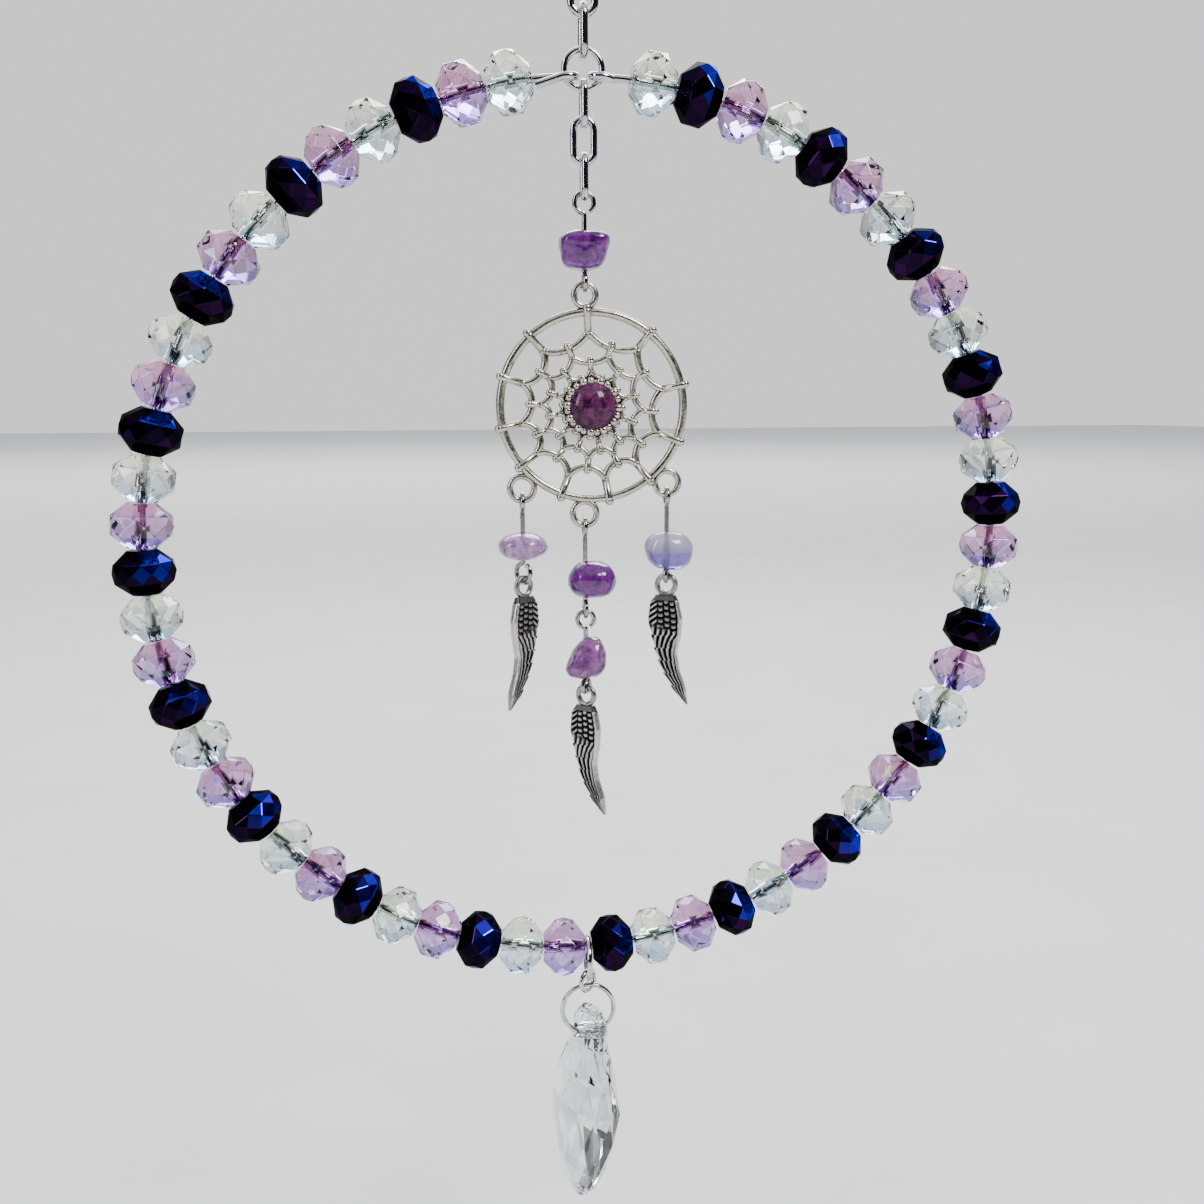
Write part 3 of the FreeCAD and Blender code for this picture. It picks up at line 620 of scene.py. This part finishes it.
def stone_cup(bm, centre):
    """Shallow cup behind the cabochon, turned from its outline."""
    lip, edge = CUP_FRONT + 0.05 * MM, 0.01 * MM
    profile = [(CUP_LIP, CUP_FRONT + 0.1 * MM), (CUP_LIP + 0.06 * MM, CUP_FRONT),
               (CUP_LIP + 0.28 * MM, lip), (CUP, CUP_FRONT + 0.3 * MM),
               (CUP, CUP_BACK - 0.2 * MM), (CUP - 0.2 * MM, CUP_BACK), (edge, CUP_BACK),
               (edge, CUP_BACK - CUP_FLOOR), (CUP_LIP, CUP_BACK - CUP_FLOOR)]
    rings = []
    for k in range(CUP_STEPS):
        angle = 360 * k / CUP_STEPS
        rings.append([bm.verts.new(round_point(centre, angle, radius) + BACK * back)
                      for radius, back in profile])
    for k, ring in enumerate(rings):
        after = rings[(k + 1) % CUP_STEPS]
        for j in range(len(profile)):
            nxt = (j + 1) % len(profile)
            bm.faces.new((ring[j], ring[nxt], after[nxt], after[j]))


def cast_medallion():
    low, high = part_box("cabochon")
    centre = Vector(((low.x + high.x) / 2, 0, (low.z + high.z) / 2))
    bm = bmesh.new()
    hoop_of(bm, centre, BACK, RING_MIDDLE, RING_WIRE, steps=180, waviness=RING_RIPPLE, sides=18)
    knots = list(KNOTS)
    for reach, thick, over in zip(ROUNDS, STRAND, OVER):
        knots = web_round(bm, centre, knots, reach, thick, over)
    beaded_bezel(bm, centre, knots)
    stone_cup(bm, centre)
    pivot = PIVOT["medallion"]
    top = Vector((pivot.x, 0, pivot.z + TOP_LOOP_RISE - TOP_LOOP))
    hoop_of(bm, top, BACK, TOP_LOOP, LOOP_WIRE, waviness=LOOP_RIPPLE)
    for degrees, radius in SIDE_LOOPS:
        side = round_point(centre, degrees, radius * MM)
        hoop_of(bm, side, BACK, SIDE_LOOP, LOOP_WIRE, waviness=LOOP_RIPPLE)
    finished("cast_medallion", bm, "medallion", True)


cast_medallion()


# ------------------------------------------------------------ wing charms
WING_LENGTH = 16.4 * MM       # from the loop's centre to the tip
WING_HALF = 0.65 * MM
WING_FIT = 0.985              # keeps the relief just inside the CAD plate
WING_LOOP, WING_LOOP_WIRE = 1.235 * MM, 0.385 * MM
WING_HANG = 0.75 * MM         # loop wire's top above the pin's wire
NECK = 0.085                  # where the wing starts under its loop, in parts of its length
FEATHERS_IN = (0.125, 0.137)  # and where its feathers fade in
NECK_RELIEF = 0.62
LOOP_SHADE = 0.8
WING_RIPPLE = 0.05
TRAILING = ((-0.085, 0.085), (-0.135, 0.15), (-0.152, 0.30), (-0.115, 0.50), (-0.05, 0.70),
            (0.06, 0.88), (0.175, 1.0))
LEADING = ((0.075, 0.085), (0.105, 0.14), (0.135, 0.28), (0.125, 0.42), (0.093, 0.58),
           (0.115, 0.72), (0.165, 0.86), (0.185, 1.0))
WING_ROWS, WING_COLUMNS = 300, 80
EDGE_BLUR = 17                # rows that the outline's corners are rounded over
TIP_THIN, TIP_TAPER = 0.30, 0.16
SEAM = 0.010                  # softness of the step from one sort of feather to the next


def outline(table, downs):
    """Smooth edge of the wing through its few set points."""
    down = np.array([point[1] for point in table])
    side = np.array([point[0] for point in table])
    plain = np.interp(downs, down, side)
    kernel = np.hanning(EDGE_BLUR) / np.hanning(EDGE_BLUR).sum()
    ends = EDGE_BLUR // 2
    padded = np.concatenate([np.full(ends, plain[0]), plain, np.full(ends, plain[-1])])
    return np.convolve(padded, kernel, "valid")


def groove(lane, width):
    """1 on the feather and 0 in the narrow line between two lanes."""
    apart = np.minimum(lane % 1, 1 - lane % 1)
    return 1 - np.exp(-(apart / width) ** 2)


def step_up(value, at, softness=SEAM):
    return 1 / (1 + np.exp(-(value - at) / softness))


def coverts(across, down):
    """Rows of short square feathers, each row set off by half from its neighbour."""
    column = (across - 0.28) / 0.195
    rungs = down * 19 + 0.30 * (np.floor(column) % 2) + 0.22 * (2 * (column % 1) - 1) ** 2
    return groove(rungs, 0.22) * groove(column, 0.13) * (0.78 + 0.22 * (rungs % 1))


def flight_feathers(across, down):
    """Long feathers that run to the tip, each with a quill."""
    strip = across * 4.4 + 0.9 * (down - 0.5)
    quill = 0.10 * np.exp(-((strip % 1 - 0.5) / 0.12) ** 2)
    return groove(strip, 0.20) * (0.86 + quill)


def feathering(across, down):
    """Relief of the feathers, 0 in a groove to 1 on a ridge; across runs to the front edge."""
    fringe = groove(down * 19 + across * 4.2, 0.27)
    inner_edge = 0.28 + 0.36 * np.clip((down - 0.26) / 0.14, 0, 1.6)
    short = fringe + (coverts(across, down) - fringe) * step_up(across, inner_edge, 0.012)
    slanted = groove(down * 9 + across * 5.4 + 0.2, 0.24)
    middle = step_up(down + 0.10 * (1 - across), 0.36)
    lower = step_up(down + 0.16 * across, 0.53)
    feathers = short + (slanted - short) * middle
    feathers = feathers + (flight_feathers(across, down) - feathers) * lower
    front = step_up(across, 0.90 - 0.04 * down)
    return np.clip(feathers * (1 - front) + 0.96 * front, 0, 1)


def ragged(downs):
    """Small steps that the feather tips make in the trailing edge."""
    fade_in = np.clip((downs - 0.28) * 6, 0, 1)
    fade_out = np.clip((0.97 - downs) * 9, 0, 1)
    return 0.022 * ((downs * 9.5) % 1) * fade_in * fade_out


def wing_section(down):
    """Relief and half thickness of the wing at one distance down, from back to front edge."""
    shares = np.linspace(0, 1, WING_COLUMNS)
    relief = feathering(shares, np.full(WING_COLUMNS, (down - NECK) / (1 - NECK)))
    start, full = FEATHERS_IN
    feathered = min(max((down - start) / (full - start), 0), 1)
    relief = relief * feathered + NECK_RELIEF * (1 - feathered)
    rim = np.clip(1 - np.abs(2 * shares - 1) ** 12, 0, 1) ** 0.5
    thin = min(TIP_THIN + (1 - down) / TIP_TAPER, 1.0)
    half = WING_HALF * WING_FIT * (0.56 + 0.44 * relief) * (0.35 + 0.65 * rim) * thin
    return shares, relief, half


def feathered_wing(node, yaw, tip_side):
    pivot = PIVOT[node]
    loop = pivot + UP * (WING_HANG - WING_LOOP)
    turn = math.radians(yaw)
    across_axis = Vector((math.cos(turn), math.sin(turn), 0)) * tip_side
    face_axis = Vector((-math.sin(turn), math.cos(turn), 0))
    downs = np.linspace(NECK, 1.0, WING_ROWS)
    back_edge = outline(TRAILING, downs) + ragged(downs)
    front_edge = outline(LEADING, downs)
    faces = ((range(WING_COLUMNS), -1), (range(WING_COLUMNS - 1, -1, -1), 1))
    bm = bmesh.new()
    shade = bm.verts.layers.float_color.new("groove")
    rings = []
    for down, back, front in zip(downs, back_edge, front_edge):
        shares, relief, half = wing_section(down)
        place = (back + (front - back) * shares) * WING_LENGTH
        ring = []
        for order, sign in faces:
            for k in order:
                vert = bm.verts.new(loop + across_axis * place[k] - UP * (down * WING_LENGTH)
                                    + face_axis * (sign * half[k]))
                vert[shade] = (relief[k], relief[k], relief[k], 1)
                ring.append(vert)
        rings.append(ring)
    for first, second in zip(rings, rings[1:]):
        for k in range(len(first)):
            after = (k + 1) % len(first)
            bm.faces.new((first[k], first[after], second[after], second[k]))
    bm.faces.new(rings[0][::-1])
    bm.faces.new(rings[-1])
    before = len(bm.verts)
    hoop_of(bm, loop, face_axis, WING_LOOP, WING_LOOP_WIRE, steps=60, waviness=WING_RIPPLE)
    bm.verts.ensure_lookup_table()
    for vert in bm.verts[before:]:
        vert[shade] = (LOOP_SHADE, LOOP_SHADE, LOOP_SHADE, 1)
    finished("feathered_" + node, bm, node, True)


for node, yaw, tip_side in (("left_wing", 40, -1), ("centre_wing", -40, 1),
                            ("right_wing", -22, 1)):
    feathered_wing(node, yaw, tip_side)


# ------------------------------------------------------------ CAD pieces that stay as they are
REPLACED = {node for node in NODES if "_beads_" in node or node.endswith(("_stone", "_wing"))}
REPLACED |= {"crystal_drop", "medallion"}
for node, piece in NODES.items():
    if node in REPLACED:
        continue
    finish = MATERIALS[SLOT_OF[node]]
    if piece.material_slots:
        for holder in piece.material_slots:
            holder.material = finish
    else:
        piece.data.materials.append(finish)

# ------------------------------------------------------------ floor, light and camera
FLOOR_BELOW = 22 * MM
FLOOR_HALF, FLOOR_BACK = 4.0, 2.5
floor_place = Matrix.Translation((0, FLOOR_BACK, CAD_BOX[0][2] - FLOOR_BELOW))
stage = bmesh.new()
bmesh.ops.create_grid(stage, x_segments=12, y_segments=12, size=FLOOR_HALF, matrix=floor_place)
stage_mesh = bpy.data.meshes.new("floor")
stage.to_mesh(stage_mesh)
stage.free()
floor = bpy.data.objects.new("floor", stage_mesh)
bpy.context.scene.collection.objects.link(floor)
pale = Shader("pale_floor")
mottle = [(0.3, (0.74, 0.74, 0.735)), (0.7, (0.78, 0.78, 0.775))]
pale.feed("Base Color", pale.ramp(pale.noise(0.02, 3.0), mottle))
pale.feed("Roughness", pale.spread(pale.noise(0.1, 2.0), 0.7, 0.85))
stage_mesh.materials.append(pale.material)

world = bpy.data.worlds.new("studio")
bpy.context.scene.world = world
world.use_nodes = True
sky = world.node_tree
backdrop = sky.nodes["Background"]
heading = sky.nodes.new("ShaderNodeTexCoord")
split = sky.nodes.new("ShaderNodeSeparateXYZ")
sky.links.new(heading.outputs["Generated"], split.inputs["Vector"])


def sky_band(source, stops):
    """Tone of the studio by one direction, from -1 to 1."""
    span = sky.nodes.new("ShaderNodeMapRange")
    span.inputs["From Min"].default_value = -1.0
    sky.links.new(source, span.inputs["Value"])
    band = sky.nodes.new("ShaderNodeValToRGB")
    while len(band.color_ramp.elements) < len(stops):
        band.color_ramp.elements.new(0.5)
    for element, (at, tone) in zip(band.color_ramp.elements, stops):
        element.position = (at + 1) / 2
        element.color = (*tone, 1)
    sky.links.new(span.outputs["Result"], band.inputs["Fac"])
    return band.outputs["Color"]


ahead = sky_band(split.outputs["Y"], [(-1.0, (0.015, 0.018, 0.022)), (0.15, (0.02, 0.024, 0.03)),
                                      (0.55, (0.55, 0.57, 0.60)), (0.72, (0.98, 0.99, 1.0)),
                                      (1.0, (1.0, 1.0, 1.0))])
overhead = sky_band(split.outputs["Z"], [(-1.0, (0.0, 0.0, 0.0)), (0.55, (0.0, 0.0, 0.0)),
                                         (0.80, (0.9, 0.95, 1.0)), (1.0, (1.0, 1.0, 1.0))])
both = sky.nodes.new("ShaderNodeMix")
both.data_type = "RGBA"
both.blend_type = "ADD"
both.inputs[MIX_FACTOR].default_value = 1.0
sky.links.new(ahead, both.inputs[MIX_FIRST])
sky.links.new(overhead, both.inputs[MIX_SECOND])
sky.links.new(both.outputs[MIX_RESULT], backdrop.inputs["Color"])
backdrop.inputs["Strength"].default_value = 1.05


def softbox(name, at, towards, width, height, watts, colour):
    lamp = bpy.data.lights.new(name, "AREA")
    lamp.shape = "RECTANGLE"
    lamp.size, lamp.size_y = width, height
    lamp.energy = watts
    lamp.color = colour
    holder = bpy.data.objects.new(name, lamp)
    holder.location = at
    holder.rotation_euler = (Vector(towards) - Vector(at)).to_track_quat("-Z", "Y").to_euler()
    bpy.context.scene.collection.objects.link(holder)


HOOP_BACK, HOOP_LIFT = 1.18 * MM, 58.1 * MM     # the oval's middle behind the pins, and up
hoop_low, hoop_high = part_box("hoop_wire")
HOOP_CENTRE = Vector(((hoop_low.x + hoop_high.x) / 2, HOOP_BACK, hoop_low.z + HOOP_LIFT))
softbox("key", (0.40, -0.42, 0.50), HOOP_CENTRE, 0.26, 0.26, 6.5, (1.0, 0.99, 0.97))
softbox("fill", (-0.60, -0.30, 0.22), HOOP_CENTRE, 0.10, 0.55, 2.4, (0.93, 0.96, 1.0))
softbox("rim", (0.10, 0.55, 0.42), HOOP_CENTRE, 0.5, 0.25, 4.0, (0.95, 0.97, 1.0))
softbox("wash", (0.0, 2.2, 1.6), (0.0, 2.4, -0.2), 3.0, 1.5, 60.0, (1.0, 1.0, 1.0))

camera = bpy.data.objects.new("camera", bpy.data.cameras.new("camera"))
camera.data.lens = 36.0
camera.data.sensor_width = 36.0
camera.data.clip_start = 0.005
camera.data.clip_end = 50.0
CAMERA_FROM_HOOP = Vector((-17.83, -159.28, 18.03)) * MM
right = Vector((0.9920, -0.1264, -0.0050))
forward = Vector((0.1239, 0.9790, -0.1623))
up = right.cross(forward).normalized()
pose = Matrix((right.normalized(), up, -forward.normalized())).transposed().to_4x4()
pose.translation = HOOP_CENTRE + CAMERA_FROM_HOOP
camera.matrix_world = pose
bpy.context.scene.collection.objects.link(camera)
bpy.context.scene.camera = camera
